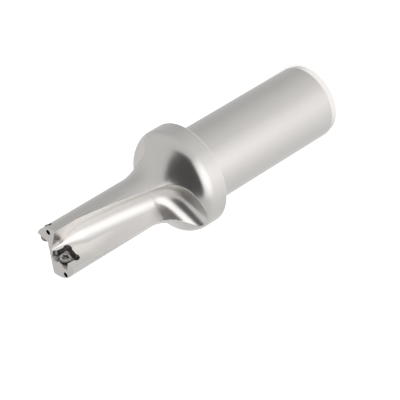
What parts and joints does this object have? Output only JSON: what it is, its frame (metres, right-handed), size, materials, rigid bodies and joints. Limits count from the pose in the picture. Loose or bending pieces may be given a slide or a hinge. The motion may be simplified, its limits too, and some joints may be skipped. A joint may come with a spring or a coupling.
{
  "type": "indexable drill",
  "caption": "Indexable insert drill with a flanged cylindrical shank, two slow right-hand helical flutes and empty square insert pockets with their screws.",
  "frame": {"origin": "centre of the drill's bounding box on the shank's end face, on the drill's axis", "axes": "+Z along the drill's axis from the shank end to the tip, +X along the inner flute's floor at the tip, -Y out of the clamping flat"},
  "size_m": [0.0344, 0.0344, 0.1111],
  "materials": {
    "body_steel": "nickel plated over milled and ground tool steel, satin with glossy flutes",
    "screw_steel": "dark oxide on rolled screw steel"
  },
  "bodies": {
    "root": {"drill_body": "body_steel", "inner_insert_screw": "screw_steel", "outer_insert_screw": "screw_steel"}
  },
  "joints": []
}
